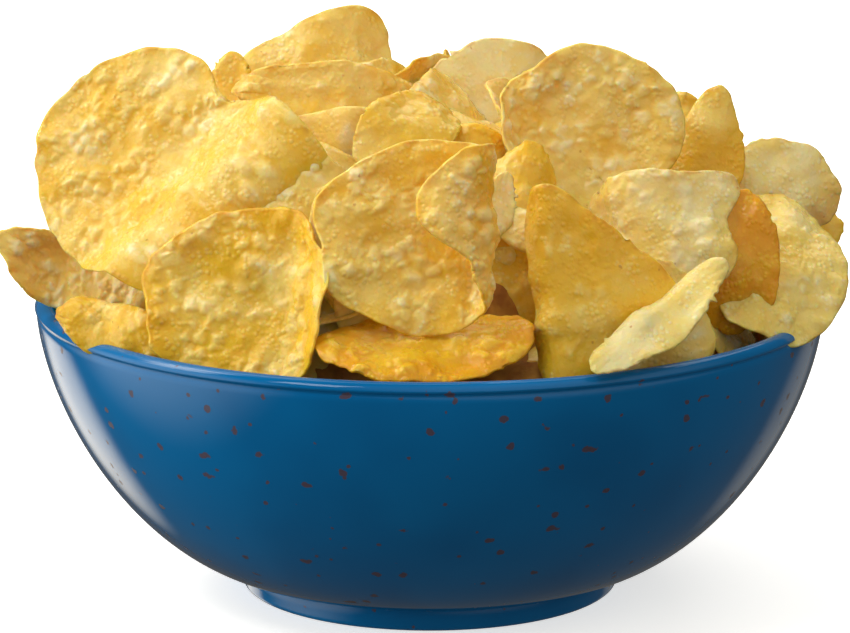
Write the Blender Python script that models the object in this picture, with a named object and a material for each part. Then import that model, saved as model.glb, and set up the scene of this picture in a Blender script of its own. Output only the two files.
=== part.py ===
"""A ceramic bowl heaped with potato crisps.

Two solids: the bowl, a turned shell on a low foot, and the heap of crisps, one closed solid whose
uneven outline follows the large bent crisps that lie on it. Metres, +Z up, with the origin in the
middle of the foot's flat underside.
"""

import math
import random
from dataclasses import dataclass

import bmesh
import bpy
import numpy as np
from mathutils import Vector
from mathutils.bvhtree import BVHTree

MM = 0.001

# Driving sizes of the bowl, in millimetres.
RIM_RADIUS = 110.0
BOWL_HEIGHT = 83.0
FOOT_RADIUS = 53.3
FOOT_HEIGHT = 6.5
FOOT_NECK = 52.3
FOOT_ROUNDING = 1.6
WALL = 5.2
FLOOR_THICKNESS = 7.0
LIP_RADIUS = 2.8
LIP_PROUD = 0.5
WALL_FLARE = 1.18
WALL_RISE = 1.26
WALL_POINTS = 12
WALL_STEP = 0.001
LIP_STEPS = 6
FLOOR_CURVE_HEIGHT = 2.0
FLOOR_CURVE_RISE = 0.4
FLOOR_INSET = 6.0
TURN_STEPS = 64

# Driving sizes of the heap, in millimetres.
HEAP_GAP = 0.9
RIM_CLEARANCE = 1.2
HEAP_REACH = 104.0
DOME_HEIGHT = 56.0
DOME_POWER = 2.3
CRISP_THICKNESS = 1.4
CRISP_GRID = 15
OUTLINE_WAVES = (2, 3, 5, 7)
OUTLINE_UNEVEN = 0.03
EDGE_WAVE = 0.9
EDGE_WAVES = 4.0
FULL_TURN = 6.28
HEAP_COLUMNS = 200
HEAP_ROWS_ABOVE = 72
HEAP_ROWS_BELOW = 16
HIGHEST_ROW = 89.0
LOWEST_ROW_ABOVE = 0.7
HIGHEST_ROW_BELOW = -1.5
LOWEST_ROW = -88.0
HEAP_TRIANGLES = 5300
STEEPEST = 1.6
DRAPE_ROUNDS = 6
FAR_OUT = 260.0
FAR_IN = 20.0
PARALLEL = 1e-9
NEAR_END = 1e-6

# The plain mound under the crisps: its share of the dome's height, its drop and its inset.
CORE_SHARE = 0.86
CORE_DROP = 4.0
CORE_INSET = 6.0
CORE_STEP = 0.5

# The crisps at the back and sides, which no one chose one by one: lengths in mm, angles in degrees.
LOOSE_CRISPS = 62
LOOSE_SEED = 11
FIRST_LOOSE_SEED = 100
LOOSE_FRONT = -12.0
LOOSE_FRONT_SLANT = 0.25
LOOSE_SLOPES = (20.0, 50.0)
LOOSE_LENGTHS = (44.0, 58.0)
LOOSE_WIDTHS = (36.0, 46.0)
LOOSE_SWING = 25.0
LOOSE_TILT = 18.0
LOOSE_LIFTS = (-3.0, 4.0)
LOOSE_CUP = 3.0
LOOSE_BEND_PLACES = (-0.2, 0.3)
LOOSE_BEND = 70.0
GOLDEN_ANGLE = math.pi * (3.0 - math.sqrt(5.0))


@dataclass(frozen=True)
class Bend:
    """A bend of a crisp: the way it runs, where it starts, how far it turns and how wide it is."""

    way: float
    at: float
    angle: float
    spread: float


@dataclass(frozen=True)
class Corner:
    """A corner of a crisp's outline: the way it points, how far it reaches and how sharp it is."""

    way: float
    reach: float
    sharp: float


@dataclass(frozen=True)
class Crisp:
    """One crisp: its middle from the middle of the rim, the way its face looks, and its shape."""

    name: str
    middle: tuple
    bearing: float
    elevation: float
    spin: float
    size: tuple
    bends: tuple = ()
    corners: tuple = ()
    cup: float = 0.0
    seed: int = 0


SHOWN_CRISPS = (
    Crisp("big_left", (-70, -45, 45), -20, 25, 0, (75, 60),
          (Bend(-40, 0.1, 35, 0.4), Bend(-40, 0.7, -150, 0.6)),
          (Corner(150, 0.05, 3), Corner(57, -0.34, 14), Corner(22, 0.15, 8), Corner(-103, 0.2, 5)), 2, 1),
    Crisp("low_left", (-95, -30, 11), -30, 30, -10, (46, 21),
          (Bend(175, 0.35, 45, 0.4), Bend(-60, 0.2, -30, 1.0)), (Corner(170, 0.12, 5),), 2, 2),
    Crisp("edge_left", (-80, -66, 2), -25, 40, -15, (44, 18), (Bend(-80, 0, -80, 0.8),), (), 0, 3),
    Crisp("front_left", (-49, -76, 15), -10, 18, 0, (56, 46), (Bend(0, 0.6, 55, 0.5),),
          (Corner(42, 0.13, 5), Corner(-42, 0.12, 5)), 2, 4),
    Crisp("folded_middle", (0, -86, 34), 4, 18, 0, (72, 50),
          (Bend(-4, 0.74, 75, 0.6), Bend(-4, 0.3, 108, 0.38)),
          (Corner(25, 0.16, 5), Corner(-35, -0.3, 4), Corner(125, 0.08, 5)), 1, 5),
    Crisp("narrow_top", (-5, -36, 54), 10, 38, 28, (30, 22), (Bend(20, 0, -35, 1.2),),
          (Corner(190, 0.35, 5), Corner(20, 0.1, 4)), 0, 6),
    Crisp("peak", (-28, 14, 58), -10, 30, 10, (41, 34), (Bend(0, 0.1, -40, 1.0),),
          (Corner(62, 0.4, 9), Corner(165, 0.3, 7)), 0, 7),
    Crisp("behind_peak", (-18, -8, 54), 0, 34, -4, (70, 20), (Bend(0, -0.1, -40, 1.4),),
          (Corner(180, 0.1, 4),), 1, 8),
    Crisp("tip_left", (-55, 4, 58), -20, 20, 0, (12, 14), (), (Corner(100, 0.3, 5),), 0, 10),
    Crisp("pale_back", (20, 20, 52), 0, 22, 0, (42, 32), (Bend(0, 0, -35, 1.4),), (), 1, 11),
    Crisp("round_right", (42, -24, 49), 5, 15, 8, (54, 46),
          (Bend(190, 0.7, 60, 0.4), Bend(-95, 0.6, 35, 0.4)), (Corner(55, 0.08, 4),), 2, 12),
    Crisp("leaf", (75, -10, 38), 22, 15, 68, (30, 24), (Bend(90, 0.1, -60, 0.9),),
          (Corner(0, 0.5, 12), Corner(180, 0.25, 6)), 0, 13),
    Crisp("behind_round", (70, 4, 45), 5, 25, 0, (16, 22), (), (), 0, 14),
    Crisp("pale_right", (98, -2, 30), 15, 25, -20, (33, 28), (Bend(-30, 0.5, -40, 0.5),),
          (Corner(-20, 0.1, 4),), -1, 15),
    Crisp("tip_right", (110, 12, 18), 30, 25, 0, (15, 14), (), (), 0, 16),
    Crisp("over_rim_right", (94, -34, 16), 20, 35, -30, (38, 54), (Bend(100, 0, -30, 1.4),),
          (Corner(150, 0.1, 4), Corner(-20, 0.08, 4)), -1, 17),
    Crisp("pillow", (60, -48, 28), -8, 22, 8, (42, 32), (Bend(190, 0.3, -55, 0.5), Bend(20, 0.5, -30, 0.6)),
          (Corner(34, 0.55, 22), Corner(-42, 0.3, 10), Corner(150, 0.1, 6)), 0, 18),
    Crisp("triangle", (41, -80, 18), 10, 20, 0, (32, 36), (Bend(180, 0.6, -60, 0.3),),
          (Corner(118, 0.75, 9), Corner(-10, 0.6, 8), Corner(-118, 0.5, 8)), 0, 19),
    Crisp("curved_right", (60, -87, 12), 10, 48, 38, (41, 16), (Bend(90, 0.3, -75, 0.5),),
          (Corner(10, 0.3, 8), Corner(180, 0.3, 8)), 0, 20),
    Crisp("amber_right", (82, -46, 18), 15, 25, -10, (24, 38), (Bend(-90, 0.2, -30, 0.8),),
          (Corner(90, 0.12, 5),), 0, 21),
    Crisp("wedge_middle", (17, -62, 36), 20, 30, 60, (18, 11), (), (Corner(0, 0.3, 8),), 0, 27),
    Crisp("strip_middle", (25, -64, 31), -15, 45, -25, (22, 11), (), (Corner(180, 0.2, 6),), 0, 28),
    Crisp("low_front", (-2, -88, 6), 0, 50, 5, (52, 32), (Bend(90, 0, -35, 1.2),),
          (Corner(0, 0.15, 5),), 0, 22),
    Crisp("beside_fold", (22, -62, 20), 10, 22, 0, (18, 34), (), (Corner(-60, 0.12, 5),), 0, 23),
    Crisp("small_middle", (24, -46, 36), -10, 35, 0, (22, 28), (Bend(0, 0.1, -50, 0.6),),
          (Corner(60, 0.2, 5),), 0, 25),
    Crisp("gap_middle", (12, -32, 45), 0, 35, -15, (28, 16), (Bend(0, 0, -30, 0.8),), (), 0, 29),
    Crisp("crumpled", (-36, -62, 34), -15, 25, 35, (36, 44),
          (Bend(-60, 0.2, -40, 0.8), Bend(120, 0.4, -30, 0.4)), (), 0, 26),
)


def clear_scene():
    """Remove what the scene holds."""
    for thing in list(bpy.data.objects):
        bpy.data.objects.remove(thing, do_unlink=True)


def make_material(name, colour, roughness):
    """Make a Principled material of one colour."""
    material = bpy.data.materials.new(name)
    material.use_nodes = True
    shader = material.node_tree.nodes["Principled BSDF"]
    shader.inputs["Base Color"].default_value = (*colour, 1.0)
    shader.inputs["Roughness"].default_value = roughness
    shader.inputs["Metallic"].default_value = 0.0
    material.diffuse_color = (*colour, 1.0)
    return material


def add_object(name, mesh, material):
    """Put a mesh into the scene as a named object with its material."""
    piece = bpy.data.objects.new(name, mesh)
    bpy.context.collection.objects.link(piece)
    mesh.materials.append(material)
    return piece


# ---------------------------------------------------------------- the bowl


def wall_curve(share):
    """Outer wall at a share of its climb: a quarter turn that flares from the neck to the lip."""
    turn = share * math.pi / 2.0
    top = BOWL_HEIGHT - LIP_RADIUS
    reach = RIM_RADIUS - LIP_PROUD - FOOT_NECK
    radius = FOOT_NECK + reach * math.sin(turn) ** WALL_FLARE
    height = FOOT_HEIGHT + (top - FOOT_HEIGHT) * (1.0 - math.cos(turn) ** WALL_RISE)
    return radius, height


def inner_curve(share):
    """Inner wall: the outer wall moved inwards by the wall's thickness, flat over the foot."""
    before = wall_curve(max(share - WALL_STEP, 0.0))
    after = wall_curve(min(share + WALL_STEP, 1.0))
    along = (after[0] - before[0], after[1] - before[1])
    length = math.hypot(*along)
    radius, height = wall_curve(share)
    return radius - WALL * along[1] / length, height + WALL * along[0] / length


def outer_section():
    """The outside half section, from the middle of the underside round the lip to its inner side."""
    points = [(0.0, 0.0), (FOOT_RADIUS - FOOT_ROUNDING, 0.0), (FOOT_RADIUS, FOOT_ROUNDING)]
    points.append((FOOT_RADIUS, FOOT_HEIGHT - FOOT_ROUNDING))
    points += [wall_curve(i / WALL_POINTS) for i in range(WALL_POINTS + 1)]
    middle_x = RIM_RADIUS - LIP_RADIUS
    middle_z = BOWL_HEIGHT - LIP_RADIUS
    for step in range(LIP_STEPS + 1):
        turn = math.pi * step / LIP_STEPS
        points.append((middle_x + LIP_RADIUS * math.cos(turn), middle_z + LIP_RADIUS * math.sin(turn)))
    return points


def inner_section():
    """The inside half section, from under the lip down the inner wall to the middle of the floor."""
    wall = [inner_curve(i / WALL_POINTS) for i in range(WALL_POINTS - 1, 0, -1)]
    points = [point for point in wall if point[1] > FLOOR_THICKNESS + FLOOR_CURVE_HEIGHT]
    points.append((FOOT_NECK - FLOOR_INSET, FLOOR_THICKNESS + FLOOR_CURVE_RISE))
    points.append((0.0, FLOOR_THICKNESS))
    return points


def build_bowl(material):
    """Turn the half section about the upright axis into a closed shell."""
    shape = bmesh.new()
    ring = [shape.verts.new((x * MM, 0.0, z * MM)) for x, z in outer_section() + inner_section()]
    edges = [shape.edges.new(pair) for pair in zip(ring[:-1], ring[1:])]
    bmesh.ops.spin(shape, geom=ring + edges, axis=(0, 0, 1), cent=(0, 0, 0), angle=2.0 * math.pi,
                   steps=TURN_STEPS, use_merge=True)
    bmesh.ops.remove_doubles(shape, verts=shape.verts, dist=0.01 * MM)
    bmesh.ops.recalc_face_normals(shape, faces=shape.faces)
    mesh = bpy.data.meshes.new("bowl")
    shape.to_mesh(mesh)
    shape.free()
    mesh.shade_smooth()
    return add_object("bowl", mesh, material)


# ---------------------------------------------------------------- the crisps


def disc_grid(count):
    """A square grid of points drawn in to a round disc of radius 1."""
    line = np.linspace(-1.0, 1.0, count)
    u, v = np.meshgrid(line, line, indexing="ij")
    return u * np.sqrt(1.0 - v * v / 2.0), v * np.sqrt(1.0 - u * u / 2.0)


def bent(points, bend, half):
    """Turn the far side of a sheet up by the bend's angle, round an arc across the bend's way."""
    way = math.radians(bend.way)
    angle = math.radians(bend.angle)
    width = bend.spread * half
    start = bend.at * half - width / 2.0
    curve = angle / width
    along = points[..., 0] * math.cos(way) + points[..., 1] * math.sin(way)
    across = -points[..., 0] * math.sin(way) + points[..., 1] * math.cos(way)
    height = points[..., 2]
    turn = angle * np.clip((along - start) / width, 0.0, 1.0)
    before = np.minimum(along - start, 0.0)
    after = np.maximum(along - start - width, 0.0)
    run = start + before + np.sin(turn) / curve + after * np.cos(turn) - height * np.sin(turn)
    rise = (1.0 - np.cos(turn)) / curve + after * np.sin(turn) + height * np.cos(turn)
    x = run * math.cos(way) - across * math.sin(way)
    y = run * math.sin(way) + across * math.cos(way)
    return np.stack([x, y, rise], axis=-1)


def crisp_sheet(crisp, count):
    """A crisp's middle surface about its own middle: an uneven disc, cupped, waved and bent."""
    dice = random.Random(crisp.seed)
    x, y = disc_grid(count)
    radius = np.hypot(x, y)
    turn = np.arctan2(y, x)
    outline = np.zeros_like(radius)
    for waves in OUTLINE_WAVES:
        uneven = dice.uniform(-OUTLINE_UNEVEN, OUTLINE_UNEVEN)
        outline += uneven * np.cos(waves * turn + dice.uniform(0.0, FULL_TURN))
    for corner in crisp.corners:
        outline += corner.reach * np.exp(corner.sharp * (np.cos(turn - math.radians(corner.way)) - 1.0))
    grow = 1.0 + outline * radius ** 2
    half_length = crisp.size[0] / 2.0
    half_width = crisp.size[1] / 2.0
    wave = EDGE_WAVE * radius ** 4 * np.cos(EDGE_WAVES * turn + dice.uniform(0.0, FULL_TURN))
    height = crisp.cup * radius ** 2 + wave
    points = np.stack([x * grow * half_length, y * grow * half_width, height], axis=-1)
    for bend in crisp.bends:
        points = bent(points, bend, (half_length + half_width) / 2.0)
    return points - points.reshape(-1, 3).mean(axis=0)


def crisp_axes(crisp):
    """The crisp's length, width and facing directions, as rows."""
    bearing = math.radians(crisp.bearing)
    elevation = math.radians(crisp.elevation)
    flat = math.cos(elevation)
    facing = np.array([math.sin(bearing) * flat, -math.cos(bearing) * flat, math.sin(elevation)])
    level = np.array([math.cos(bearing), math.sin(bearing), 0.0])
    upright = np.cross(facing, level)
    spin = math.radians(crisp.spin)
    length = level * math.cos(spin) + upright * math.sin(spin)
    width = upright * math.cos(spin) - level * math.sin(spin)
    return np.stack([length, width, facing])


def placed_sheet(crisp, count):
    """A crisp's middle surface in its place on the heap, in millimetres from the foot."""
    middle = np.array(crisp.middle) + (0.0, 0.0, BOWL_HEIGHT)
    return crisp_sheet(crisp, count) @ crisp_axes(crisp) + middle


def dome_rise(radius):
    """Height above the rim of the rounded mound that the loose crisps lie on."""
    return DOME_HEIGHT * (1.0 - min(radius / HEAP_REACH, 1.0) ** DOME_POWER)


def loose_crisps():
    """The crisps at the back and the sides: spread over the mound, each tilted its own way."""
    dice = random.Random(LOOSE_SEED)
    crisps = []
    for index in range(LOOSE_CRISPS):
        radius = HEAP_REACH * math.sqrt((index + 0.5) / LOOSE_CRISPS)
        around = index * GOLDEN_ANGLE
        x = radius * math.cos(around)
        y = radius * math.sin(around)
        slope = LOOSE_SLOPES[0] + LOOSE_SLOPES[1] * radius / HEAP_REACH
        bearing = math.degrees(math.atan2(x, -y)) + dice.uniform(-LOOSE_SWING, LOOSE_SWING)
        elevation = 90.0 - slope + dice.uniform(-LOOSE_TILT, LOOSE_TILT)
        size = (dice.uniform(*LOOSE_LENGTHS), dice.uniform(*LOOSE_WIDTHS))
        bend = Bend(dice.uniform(0.0, 360.0), dice.uniform(*LOOSE_BEND_PLACES),
                    dice.uniform(-LOOSE_BEND, LOOSE_BEND), 1.0)
        spin = dice.uniform(0.0, 360.0)
        if y > LOOSE_FRONT + LOOSE_FRONT_SLANT * abs(x):
            lift = dome_rise(radius) + dice.uniform(*LOOSE_LIFTS)
            cup = dice.uniform(-LOOSE_CUP, LOOSE_CUP)
            crisps.append(Crisp(f"loose_{index}", (x, y, lift), bearing, elevation, spin, size, (bend,),
                                (), cup, FIRST_LOOSE_SEED + index))
    return crisps


# ---------------------------------------------------------------- the heap


def crisp_tree(crisps):
    """All the crisps' middle surfaces in one tree for ray casts."""
    vertices = []
    faces = []
    for crisp in crisps:
        first = len(vertices)
        sheet = placed_sheet(crisp, CRISP_GRID)
        vertices += [Vector(point) for point in sheet.reshape(-1, 3)]
        for i in range(CRISP_GRID - 1):
            for j in range(CRISP_GRID - 1):
                corner = first + i * CRISP_GRID + j
                faces.append((corner, corner + CRISP_GRID, corner + CRISP_GRID + 1, corner + 1))
    return BVHTree.FromPolygons(vertices, faces)


def room_inside(elevation, middle_height):
    """How far a ray from the heap's middle may run before it nears the bowl's inner wall."""
    section = [(RIM_RADIUS - 2.0 * LIP_RADIUS, middle_height), outer_section()[-1]] + inner_section()
    run = math.cos(elevation)
    rise = math.sin(elevation)
    nearest = middle_height
    for (r0, z0), (r1, z1) in zip(section[:-1], section[1:]):
        dr = r1 - r0
        dz = z1 - z0
        det = run * dz - rise * dr
        if abs(det) < PARALLEL:
            continue
        reach = (r0 * dz - (z0 - middle_height) * dr) / det
        share = (r0 * rise - (z0 - middle_height) * run) / det
        if -NEAR_END <= share <= 1.0 + NEAR_END and reach > 0.0:
            nearest = reach - HEAP_GAP
    return nearest


def core_reach(elevation):
    """Distance from the heap's middle to the plain mound under the crisps, by stepping outwards."""
    reach = FAR_IN / 2.0
    while reach < FAR_OUT:
        radius = reach * math.cos(elevation)
        if reach * math.sin(elevation) > dome_rise(radius) * CORE_SHARE - CORE_DROP:
            break
        if radius > HEAP_REACH - CORE_INSET:
            break
        reach += CORE_STEP
    return reach


def draped(reaches, elevations):
    """Slope the cliffs beside each crisp: a step outwards may fall by STEEPEST times its width."""
    for _ in range(DRAPE_ROUNDS):
        around = STEEPEST * reaches * np.cos(elevations)[:, None] * 2.0 * math.pi / HEAP_COLUMNS
        reaches = np.maximum(reaches, np.roll(reaches - around, 1, axis=1))
        reaches = np.maximum(reaches, np.roll(reaches - around, -1, axis=1))
        fall = STEEPEST * reaches * abs(elevations[1] - elevations[0])
        reaches[1:] = np.maximum(reaches[1:], (reaches - fall)[:-1])
        reaches[:-1] = np.maximum(reaches[:-1], (reaches - fall)[1:])
    return reaches


def heap_reaches():
    """Distances from the heap's middle to its outline, over a grid of elevations and bearings."""
    tree = crisp_tree(list(SHOWN_CRISPS) + loose_crisps())
    middle = Vector((0.0, 0.0, BOWL_HEIGHT + RIM_CLEARANCE))
    above = np.radians(np.linspace(HIGHEST_ROW, LOWEST_ROW_ABOVE, HEAP_ROWS_ABOVE))
    below = np.radians(np.append(0.0, np.linspace(HIGHEST_ROW_BELOW, LOWEST_ROW, HEAP_ROWS_BELOW)))
    bearings = np.linspace(0.0, 2.0 * math.pi, HEAP_COLUMNS, endpoint=False)
    upper = np.zeros((len(above), HEAP_COLUMNS))
    for row, elevation in enumerate(above):
        floor = core_reach(elevation)
        for column, bearing in enumerate(bearings):
            flat = math.cos(elevation)
            way = Vector((flat * math.cos(bearing), flat * math.sin(bearing), math.sin(elevation)))
            distance = tree.ray_cast(middle + way * FAR_OUT, -way, FAR_OUT - FAR_IN)[3]
            found = 0.0 if distance is None else FAR_OUT - distance + CRISP_THICKNESS / 2.0
            upper[row, column] = max(found, floor)
    upper = draped(upper, above)
    lower = np.array([[room_inside(elevation, middle.z)] * HEAP_COLUMNS for elevation in below])
    return np.concatenate([above, below]), bearings, np.concatenate([upper, lower]), middle


def build_heap(material):
    """Close the grid of outline points into one solid, with a point at its top and its bottom."""
    elevations, bearings, reaches, middle = heap_reaches()
    rows = len(elevations)
    flat = np.cos(elevations)[:, None] * reaches
    x = flat * np.cos(bearings)[None, :]
    y = flat * np.sin(bearings)[None, :]
    z = np.sin(elevations)[:, None] * reaches + middle.z
    top = (0.0, 0.0, middle.z + reaches[0].mean())
    bottom = (0.0, 0.0, middle.z - reaches[-1].mean())
    points = np.concatenate([np.stack([x, y, z], axis=-1).reshape(-1, 3), [top, bottom]]) * MM
    faces = []
    for row in range(rows - 1):
        for column in range(HEAP_COLUMNS):
            beside = (column + 1) % HEAP_COLUMNS
            a = row * HEAP_COLUMNS + column
            b = row * HEAP_COLUMNS + beside
            faces.append((a, a + HEAP_COLUMNS, b + HEAP_COLUMNS, b))
    last = (rows - 1) * HEAP_COLUMNS
    for column in range(HEAP_COLUMNS):
        beside = (column + 1) % HEAP_COLUMNS
        faces.append((rows * HEAP_COLUMNS, column, beside))
        faces.append((rows * HEAP_COLUMNS + 1, last + beside, last + column))
    mesh = bpy.data.meshes.new("crisps")
    mesh.from_pydata(points.tolist(), [], faces)
    mesh.validate()
    heap = add_object("crisps", mesh, material)
    thin = heap.modifiers.new("Fewer faces", "DECIMATE")
    thin.decimate_type = "COLLAPSE"
    thin.ratio = HEAP_TRIANGLES / (2.0 * len(faces))
    thin.use_collapse_triangulate = True
    return heap


def main():
    """Build the bowl and the heap."""
    clear_scene()
    build_bowl(make_material("blue_glaze", (0.005, 0.075, 0.19), 0.12))
    build_heap(make_material("fried_potato", (0.75, 0.48, 0.13), 0.55))


main()
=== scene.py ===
"""A blue glazed bowl heaped with potato crisps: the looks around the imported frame."""

import logging
import math
import random
from dataclasses import dataclass, replace
from enum import Enum

import bpy
import numpy as np
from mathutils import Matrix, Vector
from mathutils.bvhtree import BVHTree


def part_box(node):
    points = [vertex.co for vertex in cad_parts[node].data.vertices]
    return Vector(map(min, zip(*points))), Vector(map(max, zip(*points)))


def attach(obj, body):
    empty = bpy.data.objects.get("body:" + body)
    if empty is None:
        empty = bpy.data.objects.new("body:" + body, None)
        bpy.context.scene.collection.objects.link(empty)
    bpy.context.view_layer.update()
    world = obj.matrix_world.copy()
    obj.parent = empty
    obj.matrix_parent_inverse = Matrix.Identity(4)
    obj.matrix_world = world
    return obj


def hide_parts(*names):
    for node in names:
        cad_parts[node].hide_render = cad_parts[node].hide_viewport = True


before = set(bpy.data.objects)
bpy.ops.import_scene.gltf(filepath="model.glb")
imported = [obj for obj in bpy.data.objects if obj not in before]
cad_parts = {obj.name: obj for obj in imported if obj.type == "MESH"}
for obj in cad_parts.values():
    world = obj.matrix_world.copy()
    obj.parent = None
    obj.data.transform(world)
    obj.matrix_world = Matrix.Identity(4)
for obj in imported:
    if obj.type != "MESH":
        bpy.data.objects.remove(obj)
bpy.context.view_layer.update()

MM = 0.001
GOLDEN_ANGLE = math.pi * (3.0 - math.sqrt(5.0))
HALF_THICKNESS = 0.6
EDGE_SHARE = 0.6
OUTLINE_WAVES = (2, 3, 5, 7)
FRILL_WAVES = (9, 13, 17, 23, 31)
FULL_TURN = 6.28
RIM_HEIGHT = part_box("bowl")[1][2] / MM
RIM_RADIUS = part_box("bowl")[1][0] / MM

logging.basicConfig(level=logging.INFO, format="%(message)s")
log = logging.getLogger("bowl_of_crisps")


# ------------------------------------------------------------------ mesh helpers


def new_piece(name: str, points: np.ndarray, blocks: list[np.ndarray], material: bpy.types.Material,
              smooth: bool = True) -> bpy.types.Object:
    """Put a mesh into the scene.

    Args:
        name: The piece's name.
        points: Vertex places in metres, one row each.
        blocks: Blocks of faces, each with one row of vertex numbers for each face.
        material: The finish.
        smooth: Whether the faces are shaded smooth.

    Returns:
        The new object, at the origin.
    """
    mesh = bpy.data.meshes.new(name)
    mesh.vertices.add(len(points))
    mesh.vertices.foreach_set("co", points.astype(np.float32).ravel())
    corners = np.concatenate([block.ravel() for block in blocks]).astype(np.int32)
    sides = np.concatenate([np.full(len(block), block.shape[1]) for block in blocks])
    mesh.loops.add(len(corners))
    mesh.loops.foreach_set("vertex_index", corners)
    mesh.polygons.add(len(sides))
    mesh.polygons.foreach_set("loop_start", (np.cumsum(sides) - sides).astype(np.int32))
    mesh.polygons.foreach_set("use_smooth", np.full(len(sides), smooth))
    mesh.update(calc_edges=True)
    mesh.validate()
    mesh.materials.append(material)
    piece = bpy.data.objects.new(name, mesh)
    bpy.context.collection.objects.link(piece)
    return piece


def add_attribute(piece: bpy.types.Object, name: str, values: np.ndarray) -> None:
    """Store one number for each vertex under a name that the materials read."""
    layer = piece.data.attributes.new(name, "FLOAT", "POINT")
    layer.data.foreach_set("value", values.astype(np.float32).ravel())


def grid_quads(rows: int, columns: int, first: int = 0) -> np.ndarray:
    """Quads of a rows-by-columns grid of vertices that is numbered row by row."""
    row, column = np.meshgrid(np.arange(rows - 1), np.arange(columns - 1), indexing="ij")
    corner = (first + row * columns + column).ravel()
    return np.stack([corner, corner + columns, corner + columns + 1, corner + 1], axis=-1)


def turned_faces(rings: int, steps: int) -> list[np.ndarray]:
    """Faces of a turned solid that face outwards when its rings run down the outside.

    Args:
        rings: How many rings of points there are.
        steps: Points in each ring. The middle point above the first ring and the one below the
            last come after all the rings.

    Returns:
        The quads between the rings, and the triangles that close both ends.
    """
    ring, step = np.meshgrid(np.arange(rings - 1), np.arange(steps), indexing="ij")
    beside = (step + 1) % steps
    quads = np.stack([ring * steps + step, (ring + 1) * steps + step,
                      (ring + 1) * steps + beside, ring * steps + beside], axis=-1).reshape(-1, 4)
    step = np.arange(steps)
    beside = (step + 1) % steps
    last = (rings - 1) * steps
    start = np.stack([np.full(steps, rings * steps), step, beside], axis=-1)
    end = np.stack([np.full(steps, rings * steps + 1), last + beside, last + step], axis=-1)
    return [quads, start, end]


def soft_noise(x: np.ndarray, y: np.ndarray, size: float, dice: np.random.Generator,
               waves: int = 14) -> np.ndarray:
    """Even random relief from about -1 to 1.

    A sum of plane cosine waves that run all ways, with wavelengths from 0.75 to 1.5 times the size.
    """
    way = dice.uniform(0.0, 2.0 * math.pi, waves)
    pitch = 2.0 * math.pi / (size * dice.uniform(0.75, 1.5, waves))
    start = dice.uniform(0.0, 2.0 * math.pi, waves)
    total = np.zeros_like(x)
    for angle, rate, phase in zip(way, pitch, start):
        total += np.cos(rate * (x * math.cos(angle) + y * math.sin(angle)) + phase)
    return total / math.sqrt(waves)


# ------------------------------------------------------------------ finishes


class NodeBook:
    """The nodes of a material or of the surroundings, with short ways to add and join them."""

    def __init__(self, owner: bpy.types.Material | bpy.types.World, shader: str = "Principled BSDF") -> None:
        """Turn the owner's nodes on and find its shader."""
        owner.use_nodes = True
        self.owner = owner
        self.tree = owner.node_tree
        self.shader = self.tree.nodes[shader]

    def add(self, kind: str, values: dict | None = None, **settings) -> bpy.types.Node:
        """Add a node.

        Args:
            kind: The node's type name, without ShaderNode in front.
            values: Numbers or sources for its inputs, by input name or number.
            settings: Settings of the node itself.

        Returns:
            The new node.
        """
        node = self.tree.nodes.new("ShaderNode" + kind)
        for key, value in settings.items():
            setattr(node, key, value)
        for key, value in (values or {}).items():
            self.feed(node, key, value)
        return node

    def feed(self, node: bpy.types.Node, key: str | int, value) -> None:
        """Join a source socket to an input, or set the input's own number."""
        if isinstance(value, bpy.types.NodeSocket):
            self.tree.links.new(value, node.inputs[key])
        else:
            node.inputs[key].default_value = value

    def place(self) -> bpy.types.NodeSocket:
        """The place in the object's own space, in metres."""
        return self.add("TexCoord").outputs["Object"]

    def attribute(self, name: str) -> bpy.types.NodeSocket:
        """A number stored on the vertices."""
        return self.add("Attribute", attribute_name=name).outputs["Fac"]

    def noise(self, place: bpy.types.NodeSocket, size: float, detail: float) -> bpy.types.NodeSocket:
        """Noise from 0 to 1 with features of about the given size in millimetres."""
        node = self.add("TexNoise", {"Vector": place, "Scale": 1.0 / (size * MM), "Detail": detail})
        return node.outputs["Fac"]

    def cells(self, place: bpy.types.NodeSocket, size: float) -> bpy.types.NodeSocket:
        """Distance to the nearest of scattered points about the given size apart, in cells."""
        return self.add("TexVoronoi", {"Vector": place, "Scale": 1.0 / (size * MM)}).outputs["Distance"]

    def sum(self, kind: str, first, second=0.5, clamp: bool = False) -> bpy.types.NodeSocket:
        """Arithmetic on two numbers or sources."""
        node = self.add("Math", {0: first, 1: second}, operation=kind, use_clamp=clamp)
        return node.outputs[0]

    def span(self, value, low: float, high: float, to_low: float = 0.0,
             to_high: float = 1.0) -> bpy.types.NodeSocket:
        """Carry a range of values smoothly over to another range, held at its ends."""
        node = self.add("MapRange", {"Value": value, "From Min": low, "From Max": high, "To Min": to_low,
                                     "To Max": to_high}, interpolation_type="SMOOTHSTEP")
        return node.outputs["Result"]

    def blend(self, share, first, second) -> bpy.types.NodeSocket:
        """Mix two colours by a share from 0 to 1."""
        node = self.add("Mix", {0: share, 6: first, 7: second}, data_type="RGBA")
        return node.outputs[2]

    def bump(self, height: bpy.types.NodeSocket, depth: float, strength: float,
             under: bpy.types.NodeSocket | None = None) -> bpy.types.NodeSocket:
        """Bump from a height of 0 to 1 that stands for a depth in millimetres."""
        node = self.add("Bump", {"Height": height, "Distance": depth * MM, "Strength": strength})
        if under is not None:
            self.feed(node, "Normal", under)
        return node.outputs["Normal"]


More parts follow.
